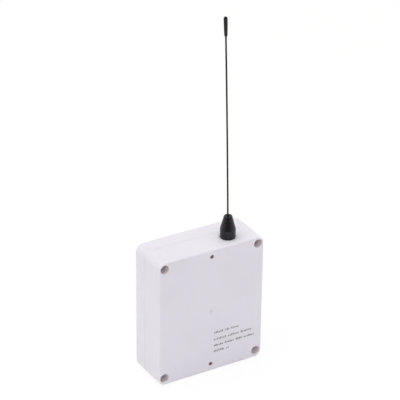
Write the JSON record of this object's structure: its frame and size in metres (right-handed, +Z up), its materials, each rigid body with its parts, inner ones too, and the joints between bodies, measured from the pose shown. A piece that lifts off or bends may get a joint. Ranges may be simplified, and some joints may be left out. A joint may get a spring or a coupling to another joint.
{
  "type": "radio receiver",
  "caption": "White two-shell plastic box radio receiver with a thin black whip antenna on a screw-on conical base.",
  "frame": {"origin": "middle of the flat bottom that the case stands on", "axes": "+Z up along the whip, +Y out of the screwed back cover, -Y out of the front cover, +X to the right seen from the front"},
  "size_m": [0.085, 0.033, 0.2654],
  "materials": {
    "shell_white": "fine moulded texture, slightly cool white",
    "cap_black": "satin moulded black",
    "whip_black": "thin black coating on spring steel",
    "tip_black": "satin moulded black",
    "brass": "turned, satin",
    "gold_plate": "thin bright plating",
    "nickel": "bright plating",
    "zinc_steel": "zinc plated",
    "ptfe": "waxy white",
    "board_green": "solder mask over copper",
    "moulded_black": "fine moulded",
    "tin": "tinned",
    "relay_blue": "semi-gloss moulded",
    "terminal_green": "moulded",
    "capacitor_sleeve": "shrunk sleeve",
    "ceramic_tan": "fired",
    "lead_jacket": "translucent brown jacket",
    "clear_acrylic": "polished clear",
    "led_white": "moulded lamp body",
    "button_grey": "moulded grey"
  },
  "bodies": {
    "case": {"rear_cover": "shell_white", "front_cover": "shell_white", "case_screws": "zinc_steel", "circuit_board": "board_green", "board_screws": "zinc_steel", "antenna_jack": "gold_plate", "jack_insulator": "ptfe", "jack_contact": "gold_plate", "jack_washer": "nickel", "jack_nut": "nickel", "antenna_lead": "lead_jacket", "lead_socket": "gold_plate", "lead_plug": "gold_plate", "radio_module": "board_green", "module_pins": "moulded_black", "module_shield": "nickel", "controller_chip": "moulded_black", "controller_legs": "tin", "crystal": "nickel", "voltage_regulator": "moulded_black", "smoothing_capacitors": "capacitor_sleeve", "protection_diode": "moulded_black", "chip_parts": "ceramic_tan", "relay": "relay_blue", "terminal_block": "terminal_green", "terminal_screws": "nickel", "power_jack": "moulded_black", "power_pin": "nickel", "status_leds": "led_white", "light_pipes": "clear_acrylic", "pairing_switch": "moulded_black"},
    "whip": {"whip_foot": "brass", "antenna_rod": "whip_black", "antenna_tip": "tip_black"},
    "cap_nut": {"antenna_base": "cap_black", "base_insert": "brass"},
    "button": {"pairing_button": "button_grey", "switch_plunger": "moulded_black"}
  },
  "joints": [
    {"name": "antenna_lift", "type": "slide", "parent": "case", "child": "whip", "axis": [0, 0, 1], "range_m": [0, 0.00529]},
    {"name": "antenna_turn", "type": "hinge", "parent": "whip", "child": "cap_nut", "pos_m": [-0.019, 0.0056, 0.1], "axis": [0, 0, 1], "range_deg": [0, 2700]},
    {"name": "button_press", "type": "slide", "parent": "case", "child": "button", "axis": [0, 1, 0], "range_m": [0, 0.00025], "stiffness_N_per_m": 6400}
  ],
  "couplings": [
    {"joint": "antenna_turn", "follows": "antenna_lift", "rad_per_m": 8905.3}
  ]
}
